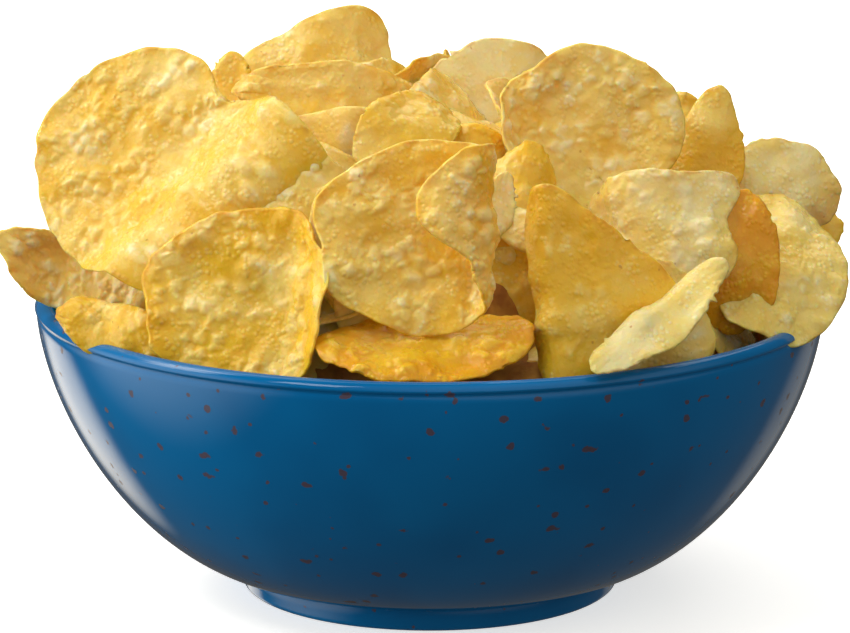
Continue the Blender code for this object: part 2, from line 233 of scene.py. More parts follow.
@dataclass(frozen=True)
class PotatoFinish:
    """Fried potato: golden, brown along the edge, paler on blister and pebble tops partly as painted
    highlight, and darker between blisters as painted shade.
    """

    name: str = "fried_potato"
    cream: tuple = (0.93, 0.81, 0.46, 1.0)
    straw: tuple = (0.90, 0.67, 0.18, 1.0)
    golden: tuple = (0.84, 0.52, 0.026, 1.0)
    amber: tuple = (0.76, 0.36, 0.006, 1.0)
    brown: tuple = (0.42, 0.15, 0.008, 1.0)
    roughness: float = 0.28
    gloss: float = 0.40
    glow_share: float = 0.6
    glow_reach: float = 2.4
    glow_colours: tuple = (1.0, 0.5, 0.08)
    broad_size: float = 16.0
    patch_size: float = 4.5
    grain_size: float = 0.9
    grain_depth: float = 0.16
    pebble_size: float = 1.5
    pebble_depth: float = 0.22
    speck_size: float = 2.2

    def build(self) -> bpy.types.Material:
        """Make the material.

        A number from 0 to 1 picks the colour. It starts from the crisp's tone, changed by broad and small
        patches, and is more at the rim. It is lowered on pebble tops as painted highlight and lowered on
        blister tops, partly as their paler colour and partly as painted highlight. It is raised in the
        hollows between blisters as painted shade. The colours follow it from cream through straw and golden
        to amber, with brown along the very edge and in specks.

        Returns:
            A Principled material whose colour follows the tone, rim and bubble attributes.
        """
        book = NodeBook(bpy.data.materials.new(self.name))
        place = book.place()
        tone = book.attribute("tone")
        rim = book.attribute("rim")
        bubble = book.attribute("bubble")
        broad = book.noise(place, self.broad_size, 2.0)
        patch = book.noise(place, self.patch_size, 3.0)
        fine = book.noise(place, self.grain_size, 2.0)
        pebbled = book.span(book.noise(place, 9.0, 1.0), 0.38, 0.62, 0.35, 1.0)
        pebbles = book.span(book.cells(place, self.pebble_size), 0.08, 0.62, 1.0, 0.0)
        pebbles = book.sum("MULTIPLY", pebbles, pebbled)
        fry_with_painted_light = book.sum("ADD", tone, book.span(broad, 0.3, 0.7, -0.07, 0.07))
        fry_with_painted_light = book.sum("ADD", fry_with_painted_light, book.span(patch, 0.35, 0.65, -0.05, 0.05))
        fry_with_painted_light = book.sum("ADD", fry_with_painted_light, book.span(rim, 0.80, 1.0, 0.0, 0.03))
        # painted highlight: pebble tops made paler to stand in for small glints of light
        fry_with_painted_light = book.sum("SUBTRACT", fry_with_painted_light, book.span(pebbles, 0.1, 0.9, -0.03, 0.11))
        # blister tops paler, partly their own colour and partly painted highlight; hollows between blisters
        # darker as painted shade
        fry_with_painted_light = book.sum("SUBTRACT", fry_with_painted_light, book.span(bubble, 0.02, 0.9, -0.07, 0.22), clamp=True)
        colour = book.blend(book.span(fry_with_painted_light, 0.0, 0.38), self.cream, self.straw)
        colour = book.blend(book.span(fry_with_painted_light, 0.34, 0.70), colour, self.golden)
        colour = book.blend(book.span(fry_with_painted_light, 0.70, 1.0), colour, self.amber)
        edge = book.sum("MULTIPLY", book.span(rim, 0.955, 1.0), book.span(patch, 0.46, 0.62, 0.0, 0.35))
        colour = book.blend(edge, colour, self.brown)
        speck = book.noise(place, self.speck_size, 1.0)
        colour = book.blend(book.span(speck, 0.76, 0.82, 0.0, 0.5), colour, self.brown)
        shader = book.shader
        book.feed(shader, "Base Color", colour)
        dry = book.span(patch, 0.3, 0.7, self.roughness - 0.08, self.roughness + 0.16)
        book.feed(shader, "Roughness", dry)
        shader.inputs["Subsurface Weight"].default_value = self.glow_share
        shader.inputs["Subsurface Radius"].default_value = self.glow_colours
        shader.inputs["Subsurface Scale"].default_value = self.glow_reach * MM
        shader.inputs["Specular IOR Level"].default_value = self.gloss
        relief = book.bump(pebbles, self.pebble_depth, 0.8)
        book.feed(shader, "Normal", book.bump(fine, self.grain_depth, 0.6, relief))
        return book.owner


@dataclass(frozen=True)
class CoreFinish:
    """Painted shade: dark amber colour standing in for the shade inside the heap, seen only through gaps
    between the crisps.
    """

    name: str = "heap_shade"
    light: tuple = (0.50, 0.24, 0.03, 1.0)
    dark: tuple = (0.30, 0.11, 0.01, 1.0)
    roughness: float = 0.8
    mottle_size: float = 7.0
    depth: float = 0.6

    def build(self) -> bpy.types.Material:
        """Make the material: painted shade, amber mottled with brown, and rough."""
        book = NodeBook(bpy.data.materials.new(self.name))
        place = book.place()
        mottle = book.noise(place, self.mottle_size, 4.0)
        book.feed(book.shader, "Base Color", book.blend(book.span(mottle, 0.35, 0.65), self.dark, self.light))
        book.shader.inputs["Roughness"].default_value = self.roughness
        book.feed(book.shader, "Normal", book.bump(book.noise(place, 2.0, 3.0), self.depth, 0.6))
        return book.owner


@dataclass(frozen=True)
class Speckles:
    """One size of speckle: cell size in millimetres, reach in cells, share of cells left plain,
    flattening, and a shift that sets its pattern apart."""

    cell: float
    reach: float
    plain: float
    flat: float
    shift: float


@dataclass(frozen=True)
class GlazeFinish:
    """Glossy blue glaze with small brown speckles, some drawn out sideways."""

    name: str = "blue_glaze"
    blue: tuple = (0.0, 0.150, 0.43, 1.0)
    deep: tuple = (0.0, 0.125, 0.37, 1.0)
    speckle: tuple = (0.10, 0.045, 0.03, 1.0)
    speckle_share: float = 0.8
    roughness: float = 0.08
    speckle_roughness: float = 0.3
    gloss: float = 0.26
    speckles: tuple = (Speckles(7.0, 0.17, 0.55, 1.0, 0.0), Speckles(13.0, 0.15, 0.62, 2.0, 0.37),
                       Speckles(4.2, 0.15, 0.70, 1.0, 0.71))

    def build(self) -> bpy.types.Material:
        """Make the material.

        Returns:
            A Principled material with speckles from scattered cells.
        """
        book = NodeBook(bpy.data.materials.new(self.name))
        place = book.place()
        wobble = book.noise(place, 2.2, 3.0)
        broad = book.noise(place, 45.0, 2.0)
        colour = book.blend(book.span(broad, 0.35, 0.65), self.deep, self.blue)
        spots = None
        for kind in self.speckles:
            moved = book.add("Mapping", {"Vector": place, "Location": (kind.shift, kind.shift, kind.shift),
                                         "Scale": (1.0, 1.0, kind.flat)}).outputs["Vector"]
            cell = book.add("TexVoronoi", {"Vector": moved, "Scale": 1.0 / (kind.cell * MM)})
            distance = book.sum("ADD", cell.outputs["Distance"], book.span(wobble, 0.3, 0.7, -0.06, 0.06))
            inside = book.span(distance, kind.reach, kind.reach - 0.04)
            chance = book.add("SeparateColor", {0: cell.outputs["Color"]}).outputs[0]
            spot = book.sum("MULTIPLY", inside, book.sum("GREATER_THAN", chance, kind.plain))
            spots = spot if spots is None else book.sum("MAXIMUM", spots, spot)
        colour = book.blend(book.sum("MULTIPLY", spots, self.speckle_share), colour, self.speckle)
        shader = book.shader
        book.feed(shader, "Base Color", colour)
        book.feed(shader, "Roughness", book.span(spots, 0.0, 1.0, self.roughness, self.speckle_roughness))
        shader.inputs["Specular IOR Level"].default_value = self.gloss
        book.feed(shader, "Normal", book.bump(book.noise(place, 9.0, 1.0), 0.25, 0.10))
        return book.owner


@dataclass(frozen=True)
class FloorFinish:
    """Plain pale floor, lit from below like a light table so that shadows stay faint."""

    name: str = "pale_floor"
    colour: tuple = (0.93, 0.93, 0.92, 1.0)
    own_light: float = 0.68
    roughness: float = 0.7
    gloss: float = 0.1

    def build(self) -> bpy.types.Material:
        """Make the material."""
        book = NodeBook(bpy.data.materials.new(self.name))
        book.shader.inputs["Base Color"].default_value = self.colour
        book.shader.inputs["Roughness"].default_value = self.roughness
        book.shader.inputs["Specular IOR Level"].default_value = self.gloss
        book.shader.inputs["Emission Color"].default_value = self.colour
        book.shader.inputs["Emission Strength"].default_value = self.own_light
        return book.owner


# ------------------------------------------------------------------ the bowl


@dataclass
class Bowl:
    """The turned bowl: foot, flaring wall, rolled lip and inner wall. Sizes in millimetres."""

    foot_radius: float = 53.3
    foot_height: float = 6.5
    neck_radius: float = 52.3
    lip: float = 2.8
    lip_proud: float = 0.5
    wall: float = 5.2
    floor_thickness: float = 7.0
    flare: float = 1.18
    rise: float = 1.26
    turns: int = 256

    def wall_points(self, count: int = 60) -> np.ndarray:
        """Outer wall from the neck to the lip.

        The radius grows with a power of the sine of a quarter turn, and the height with one less a
        power of its cosine.
        """
        turn = np.linspace(0.0, 1.0, count) ** 0.9 * math.pi / 2.0
        top = RIM_HEIGHT - self.lip
        reach = RIM_RADIUS - self.lip_proud - self.neck_radius
        radius = self.neck_radius + reach * np.sin(turn) ** self.flare
        height = self.foot_height + (top - self.foot_height) * (1.0 - np.cos(turn) ** self.rise)
        return np.stack([radius, height], axis=-1)

    def profile(self) -> np.ndarray:
        """Half section from the middle of the underside round the lip to the middle inside."""
        rounding = 1.6
        turn = np.linspace(-math.pi / 2.0, 0.0, 7)
        foot = np.stack([self.foot_radius - 0.6 - rounding + rounding * np.cos(turn),
                         rounding + rounding * np.sin(turn)], axis=-1)
        side = np.array([[self.foot_radius - 0.3, 3.5], [self.foot_radius, self.foot_height - 0.8],
                         [self.foot_radius - 0.3, self.foot_height - 0.2]])
        outer = self.wall_points()
        keep = outer[:, 1] < RIM_HEIGHT - self.lip - 1.2
        keep[0] = False
        outer = outer[keep]
        groove = np.array([[RIM_RADIUS - self.lip_proud - 0.25, RIM_HEIGHT - self.lip - 0.9],
                           [RIM_RADIUS - self.lip_proud - 0.55, RIM_HEIGHT - self.lip - 0.35],
                           [RIM_RADIUS - self.lip_proud - 0.15, RIM_HEIGHT - self.lip]])
        turn = np.linspace(math.radians(12.0), math.pi, 22)
        lip = np.stack([RIM_RADIUS - self.lip + self.lip * np.cos(turn),
                        RIM_HEIGHT - self.lip + self.lip * np.sin(turn)], axis=-1)
        points = self.wall_points(60)
        along = np.gradient(points, axis=0)
        length = np.hypot(along[:, 0], along[:, 1])[:, None]
        inner = points + self.wall * np.stack([-along[:, 1], along[:, 0]], axis=-1) / length
        inner = inner[(inner[:, 1] > self.floor_thickness + 1.5) & (points[:, 1] < RIM_HEIGHT - 8.0)][::-1]
        floor = np.array([[self.neck_radius - 4.0, self.floor_thickness + 0.6],
                          [self.neck_radius - 9.0, self.floor_thickness], [0.0, self.floor_thickness]])
        return np.concatenate([[[0.0, 0.0]], foot, side, outer, groove, lip, inner, floor])

    def build(self, material: bpy.types.Material) -> bpy.types.Object:
        """Turn the half section about the upright axis.

        Args:
            material: The glaze.

        Returns:
            The bowl as one closed piece.
        """
        section = self.profile()[::-1] * MM
        angle = np.linspace(0.0, 2.0 * math.pi, self.turns, endpoint=False)
        radius, height = section[1:-1, 0, None], section[1:-1, 1, None]
        rings = np.stack([radius * np.cos(angle), radius * np.sin(angle), height + 0.0 * angle], axis=-1)
        ends = np.array([[0.0, 0.0, section[0][1]], [0.0, 0.0, section[-1][1]]])
        points = np.concatenate([rings.reshape(-1, 3), ends])
        return new_piece("bowl_shell", points, turned_faces(len(rings), self.turns), material)


# ------------------------------------------------------------------ the crisps


class Skin(Enum):
    """How a crisp's surface is blistered: number of blisters, their height, and the relief between."""

    BLISTERED = (520, 1.15, 0.12)
    PEBBLED = (360, 0.75, 0.10)
    SMOOTH = (80, 0.35, 0.06)


@dataclass(frozen=True)
class Bend:
    """A bend: the way it runs, where it starts in half sizes, how far it turns and how wide it is."""

    way: float
    at: float
    angle: float
    spread: float


@dataclass(frozen=True)
class Corner:
    """A corner of the outline: the way it points, how far it reaches and how sharp it is."""

    way: float
    reach: float
    sharp: float


@dataclass(frozen=True)
class Crisp:
    """One crisp.

    Its middle is measured from the middle of the rim in millimetres. Its face looks along a bearing
    from the front and up by an elevation, and it is then spun about the way it faces, in degrees.
    """

    name: str
    middle: tuple
    bearing: float
    elevation: float
    spin: float
    size: tuple
    bends: tuple = ()
    corners: tuple = ()
    cup: float = 0.0
    seed: int = 0
    skin: Skin = Skin.BLISTERED
    tone: float = 0.35
    ruffle: float = 1.0

    def axes(self) -> np.ndarray:
        """Directions of the crisp's length, width and facing, as rows."""
        bearing, elevation, spin = np.radians([self.bearing, self.elevation, self.spin])
        flat = math.cos(elevation)
        facing = np.array([math.sin(bearing) * flat, -math.cos(bearing) * flat, math.sin(elevation)])
        level = np.array([math.cos(bearing), math.sin(bearing), 0.0])
        upright = np.cross(facing, level)
        length = level * math.cos(spin) + upright * math.sin(spin)
        return np.stack([length, np.cross(facing, length), facing])

    def sheet(self, count: int) -> tuple[np.ndarray, np.ndarray, np.ndarray, np.ndarray]:
        """The crisp's middle surface about its own middle, before it is placed.

        A square grid is drawn in to a disc, each side's points moved by the root of one less half
        the other coordinate squared. Cosine waves round the disc and bumps at the corners push the
        outline out, the disc is stretched to the crisp's size, cupped by the square of the radius,
        waved near its edge, and bent in turn by each bend.

        Args:
            count: Points along each side of the grid.

        Returns:
            The points, the flat x and y in millimetres, and the share of the way out to the edge.
        """
        dice = random.Random(self.seed)
        line = np.linspace(-1.0, 1.0, count)
        u, v = np.meshgrid(line, line, indexing="ij")
        x = u * np.sqrt(1.0 - v * v / 2.0)
        y = v * np.sqrt(1.0 - u * u / 2.0)
        radius = np.hypot(x, y)
        turn = np.arctan2(y, x)
        outline = np.zeros_like(radius)
        for waves in OUTLINE_WAVES:
            outline += dice.uniform(-0.03, 0.03) * np.cos(waves * turn + dice.uniform(0.0, FULL_TURN))
        for corner in self.corners:
            outline += corner.reach * np.exp(corner.sharp * (np.cos(turn - math.radians(corner.way)) - 1.0))
        grow = 1.0 + outline * radius ** 2
        half_length = self.size[0] / 2.0
        half_width = self.size[1] / 2.0
        wave = self.ruffle * 0.9 * radius ** 4 * np.cos(4.0 * turn + dice.uniform(0.0, FULL_TURN))
        for waves in FRILL_WAVES:
            frill = dice.uniform(0.001, 0.005) * radius ** 6
            grow += frill * np.cos(waves * turn + dice.uniform(0.0, FULL_TURN))
            wave += self.ruffle * 0.12 * radius ** 6 * np.cos(waves * turn + dice.uniform(0.0, FULL_TURN))
        flat_x = x * grow * half_length
        flat_y = y * grow * half_width
        points = np.stack([flat_x, flat_y, self.cup * radius ** 2 + wave], axis=-1)
        for bend in self.bends:
            points = self.bent(points, bend, (half_length + half_width) / 2.0)
        return points - points.reshape(-1, 3).mean(axis=0), flat_x, flat_y, radius

    @staticmethod
    def bent(points: np.ndarray, bend: Bend, half: float) -> np.ndarray:
        """Turn the far side of a sheet up by the bend's angle.

        Along the bend's way the sheet runs straight, then round an arc whose length is the bend's
        width, then straight again at the new angle. Height above the sheet turns with it.
        """
        way = math.radians(bend.way)
        angle = math.radians(bend.angle)
        width = bend.spread * half
        start = bend.at * half - width / 2.0
        curve = angle / width
        along = points[..., 0] * math.cos(way) + points[..., 1] * math.sin(way)
        across = -points[..., 0] * math.sin(way) + points[..., 1] * math.cos(way)
        height = points[..., 2]
        turn = angle * np.clip((along - start) / width, 0.0, 1.0)
        before = np.minimum(along - start, 0.0)
        after = np.maximum(along - start - width, 0.0)
        run = start + before + np.sin(turn) / curve + after * np.cos(turn) - height * np.sin(turn)
        rise = (1.0 - np.cos(turn)) / curve + after * np.sin(turn) + height * np.cos(turn)
        x = run * math.cos(way) - across * math.sin(way)
        y = run * math.sin(way) + across * math.cos(way)
        return np.stack([x, y, rise], axis=-1)

    def blisters(self, x: np.ndarray, y: np.ndarray, dice: np.random.Generator) -> np.ndarray:
        """Height of the blisters in millimetres.

        Each is a cap: its height times one less the squared distance over its radius. The distance is taken
        after a soft shift of the surface, so that the caps aren't round, and in soft patches of the crisp the
        caps are lower, down to a fifth of their height. Where caps meet the higher one shows.
        """
        count, height, _ = self.skin.value
        area = self.size[0] * self.size[1] / 3000.0
        shifted_x = x + 0.45 * soft_noise(x, y, 4.0, dice)
        shifted_y = y + 0.45 * soft_noise(x, y, 4.0, dice)
        patches = np.clip(0.80 + 0.8 * soft_noise(x, y, 16.0, dice), 0.20, 1.0)
        total = np.zeros_like(x)
        for _ in range(int(count * area)):
            middle_x = dice.uniform(-0.5, 0.5) * self.size[0]
            middle_y = dice.uniform(-0.5, 0.5) * self.size[1]
            reach = 1.0 + 1.8 * dice.random() ** 2.0
            tall = height * dice.uniform(0.5, 1.0) * min(reach / 2.2, 1.0)
            near = 1.0 - ((shifted_x - middle_x) ** 2 + (shifted_y - middle_y) ** 2) / reach ** 2
            total = np.maximum(total, tall * np.clip(near, 0.0, 1.0) ** 1.3)
        return total * patches

    def solid(self, count: int) -> tuple[np.ndarray, np.ndarray, dict[str, np.ndarray]]:
        """The crisp as a closed shell with a face, a back and a rounded edge, in its place.

        The middle surface is moved both ways along its normals by half the thickness, which thins
        towards the edge, and by relief: soft waves that both sides share, and blisters of each
        side's own. The rounded edge is one more loop of points, pushed outwards.

        Args:
            count: Points along each side of the grid.

        Returns:
            Points in metres, quads, and the attributes by name.
        """
        dice = np.random.default_rng(self.seed + 500)
        middle, x, y, radius = self.sheet(count)
        normal = np.cross(np.gradient(middle, axis=0), np.gradient(middle, axis=1))
        normal /= np.linalg.norm(normal, axis=-1, keepdims=True) + 1e-12
        fade = np.clip((1.0 - radius) / 0.10, 0.0, 1.0)
        _, _, depth = self.skin.value
        between = depth * soft_noise(x, y, 5.0, dice) + 0.22 * soft_noise(x, y, 9.0, dice)
        between += 0.65 * soft_noise(x, y, 18.0, dice)
        sides = []
        heights = []
        for way in (1.0, -1.0):
            caps = self.blisters(x, y, dice)
            relief = caps * (0.2 + 0.8 * fade)
            shell = HALF_THICKNESS * (EDGE_SHARE + (1.0 - EDGE_SHARE) * fade)
            sides.append(middle + normal * (way * (shell + relief) + between)[..., None])
            heights.append(caps)
        loop = self.edge_loop(count)
        border = middle.reshape(-1, 3)[loop]
        outward = np.roll(border, -1, axis=0) - np.roll(border, 1, axis=0)
        outward = np.cross(outward, normal.reshape(-1, 3)[loop])
        outward /= np.linalg.norm(outward, axis=-1, keepdims=True) + 1e-12
        rim = (sides[0].reshape(-1, 3)[loop] + sides[1].reshape(-1, 3)[loop]) / 2.0
        rim += outward * HALF_THICKNESS * EDGE_SHARE
        total = count * count
        points = np.concatenate([sides[0].reshape(-1, 3), sides[1].reshape(-1, 3), rim])
        front = grid_quads(count, count)
        back = grid_quads(count, count, total)[:, ::-1]
        edge = 2 * total + np.arange(len(loop))
        after = np.roll(np.arange(len(loop)), -1)
        upper = np.stack([loop, edge, edge[after], loop[after]], axis=-1)
        lower = np.stack([edge, total + loop, total + loop[after], edge[after]], axis=-1)
        world = points @ self.axes() + np.array(self.middle) + (0.0, 0.0, RIM_HEIGHT)
        shade = self.tone + 0.08 * soft_noise(x, y, 22.0, dice)
        values = {
            "tone": np.concatenate([shade.ravel(), shade.ravel(), shade.ravel()[loop]]),
            "rim": np.concatenate([radius.ravel(), radius.ravel(), np.ones(len(loop))]),
            "bubble": np.concatenate([heights[0].ravel(), heights[1].ravel(), np.zeros(len(loop))]),
        }
        return world * MM, np.concatenate([front, back, upper, lower]), values

    @staticmethod
    def edge_loop(count: int) -> np.ndarray:
        """Numbers of the grid's outer points in order, anticlockwise seen from the face."""
        line = np.arange(count)
        return np.concatenate([line[:-1] * count, (count - 1) * count + line[:-1],
                               line[:0:-1] * count + count - 1, line[:0:-1]])


def join_crisps(name: str, crisps: list[Crisp], count: int, material: bpy.types.Material) -> bpy.types.Object:
    """Make one piece of several crisps.

    Args:
        name: The piece's name.
        crisps: The crisps in it.
        count: Points along each side of a crisp's grid.
        material: The finish.

    Returns:
        The piece, with the attributes that the finish reads.
    """
    all_points: list[np.ndarray] = []
    all_faces: list[np.ndarray] = []
    all_values: dict[str, list[np.ndarray]] = {"tone": [], "rim": [], "bubble": []}
    first = 0
    for crisp in crisps:
        points, faces, values = crisp.solid(count)
        all_points.append(points)
        all_faces.append(faces + first)
        for key, numbers in values.items():
            all_values[key].append(numbers)
        first += len(points)
    piece = new_piece(name, np.concatenate(all_points), [np.concatenate(all_faces)], material)
    for key, numbers in all_values.items():
        add_attribute(piece, key, np.concatenate(numbers))
    log.info("%s: %d crisps, %d faces", name, len(crisps), len(piece.data.polygons))
    return piece


SHOWN_CRISPS = (
    Crisp("big_left", (-70, -45, 45), -20, 25, 0, (75, 60),
          (Bend(-40, 0.1, 35, 0.4), Bend(-40, 0.7, -150, 0.6)),
          (Corner(150, 0.05, 3), Corner(57, -0.34, 14), Corner(22, 0.15, 8), Corner(-103, 0.2, 5)),
          2, 1, Skin.BLISTERED, 0.44, 0.5),
    Crisp("low_left", (-95, -30, 11), -30, 30, -10, (46, 21),
          (Bend(175, 0.35, 45, 0.4), Bend(-60, 0.2, -30, 1.0)),
          (Corner(170, 0.12, 5),), 2, 2, Skin.BLISTERED, 0.32, 0.8),
    Crisp("edge_left", (-80, -66, 2), -25, 40, -15, (44, 18), (Bend(-80, 0, -80, 0.8),), (),
          0, 3, Skin.PEBBLED, 0.56, 0.6),
    Crisp("front_left", (-49, -76, 15), -10, 18, 0, (56, 46), (Bend(0, 0.6, 55, 0.5),),
          (Corner(42, 0.13, 5), Corner(-42, 0.12, 5)), 2, 4, Skin.BLISTERED, 0.5, 0.5),
    Crisp("folded_middle", (0, -86, 34), 4, 18, 0, (72, 50),
          (Bend(-4, 0.74, 75, 0.6), Bend(-4, 0.3, 108, 0.38)),
          (Corner(25, 0.16, 5), Corner(-35, -0.3, 4), Corner(125, 0.08, 5)), 1, 5, Skin.BLISTERED, 0.42, 0.5),
    Crisp("narrow_top", (-5, -36, 54), 10, 38, 28, (30, 22), (Bend(20, 0, -35, 1.2),),
          (Corner(190, 0.35, 5), Corner(20, 0.1, 4)), 0, 6, Skin.PEBBLED, 0.5, 0.6),
    Crisp("peak", (-28, 14, 58), -10, 30, 10, (41, 34), (Bend(0, 0.1, -40, 1.0),),
          (Corner(62, 0.4, 9), Corner(165, 0.3, 7)), 0, 7, Skin.PEBBLED, 0.36, 0.6),
    Crisp("behind_peak", (-18, -8, 54), 0, 34, -4, (70, 20), (Bend(0, -0.1, -40, 1.4),),
          (Corner(180, 0.1, 4),), 1, 8, Skin.PEBBLED, 0.4, 0.8),
    Crisp("tip_left", (-55, 4, 58), -20, 20, 0, (12, 14), (), (Corner(100, 0.3, 5),),
          0, 10, Skin.PEBBLED, 0.45, 0.5),
    Crisp("pale_back", (20, 20, 52), 0, 22, 0, (42, 32), (Bend(0, 0, -35, 1.4),), (),
          1, 11, Skin.SMOOTH, 0.02, 0.6),
    Crisp("round_right", (42, -24, 49), 5, 15, 8, (54, 46),
          (Bend(190, 0.7, 60, 0.4), Bend(-95, 0.6, 35, 0.4)),
          (Corner(55, 0.08, 4),), 2, 12, Skin.BLISTERED, 0.33, 0.6),
    Crisp("leaf", (75, -10, 38), 22, 15, 68, (30, 24), (Bend(90, 0.1, -60, 0.9),),
          (Corner(0, 0.5, 12), Corner(180, 0.25, 6)), 0, 13, Skin.SMOOTH, 0.5, 0.4),
    Crisp("behind_round", (70, 4, 45), 5, 25, 0, (16, 22), (), (), 0, 14, Skin.PEBBLED, 0.5, 0.7),
    Crisp("pale_right", (98, -2, 30), 15, 25, -20, (33, 28), (Bend(-30, 0.5, -40, 0.5),),
          (Corner(-20, 0.1, 4),), -1, 15, Skin.SMOOTH, 0.16, 0.9),
    Crisp("tip_right", (104, 12, 16), 30, 25, 0, (27, 20), (), (), 0, 16, Skin.PEBBLED, 0.5, 0.8),
    Crisp("over_rim_right", (94, -34, 16), 20, 35, -30, (38, 54), (Bend(100, 0, -30, 1.4),),
          (Corner(150, 0.1, 4), Corner(-20, 0.08, 4)), -1, 17, Skin.PEBBLED, 0.3, 0.7),
    Crisp("pillow", (60, -48, 28), -8, 22, 8, (42, 32), (Bend(190, 0.3, -55, 0.5), Bend(20, 0.5, -30, 0.6)),
          (Corner(34, 0.55, 22), Corner(-42, 0.3, 10), Corner(150, 0.1, 6)), 0, 18, Skin.PEBBLED, 0.16, 0.5),
    Crisp("triangle", (41, -80, 18), 10, 20, 0, (32, 36), (Bend(180, 0.6, -60, 0.3),),
          (Corner(118, 0.75, 9), Corner(-10, 0.6, 8), Corner(-118, 0.5, 8)), 0, 19, Skin.PEBBLED, 0.56, 0.5),
    Crisp("curved_right", (60, -87, 12), 10, 48, 38, (41, 16), (Bend(90, 0.3, -75, 0.5),),
          (Corner(10, 0.3, 8), Corner(180, 0.3, 8)), 0, 20, Skin.SMOOTH, 0.12, 0.4),
    # Painted shade: tone 0.85 makes this crisp dark amber because it faces away from the light.
    Crisp("amber_right", (82, -46, 18), 15, 25, -10, (24, 38), (Bend(-90, 0.2, -30, 0.8),),
          (Corner(90, 0.12, 5),), 0, 21, Skin.SMOOTH, 0.85, 0.6),
    Crisp("wedge_middle", (17, -62, 36), 20, 30, 60, (18, 11), (), (Corner(0, 0.3, 8),),
          0, 27, Skin.PEBBLED, 0.15, 0.5),
    Crisp("strip_middle", (25, -64, 31), -15, 45, -25, (22, 11), (), (Corner(180, 0.2, 6),),
          0, 28, Skin.PEBBLED, 0.25, 0.6),
    # Painted shade: tone 0.82 makes this crisp amber because it lies in the shadow of the folded crisp above.
    Crisp("low_front", (-2, -88, 6), 0, 50, 5, (52, 32), (Bend(90, 0, -35, 1.2),), (Corner(0, 0.15, 5),),
          0, 22, Skin.BLISTERED, 0.82, 0.6),
    Crisp("beside_fold", (22, -62, 20), 10, 22, 0, (18, 34), (), (Corner(-60, 0.12, 5),),
          0, 23, Skin.PEBBLED, 0.5, 0.5),
    Crisp("small_middle", (24, -46, 36), -10, 35, 0, (22, 28), (Bend(0, 0.1, -50, 0.6),),
          (Corner(60, 0.2, 5),), 0, 25, Skin.PEBBLED, 0.5, 0.8),
    Crisp("gap_middle", (12, -32, 45), 0, 35, -15, (28, 16), (Bend(0, 0, -30, 0.8),), (),
          0, 29, Skin.PEBBLED, 0.55, 0.6),
    Crisp("crumpled", (-36, -62, 34), -15, 25, 35, (36, 44),
          (Bend(-60, 0.2, -40, 0.8), Bend(120, 0.4, -30, 0.4)),
          (), 0, 26, Skin.BLISTERED, 0.26, 0.9),
)


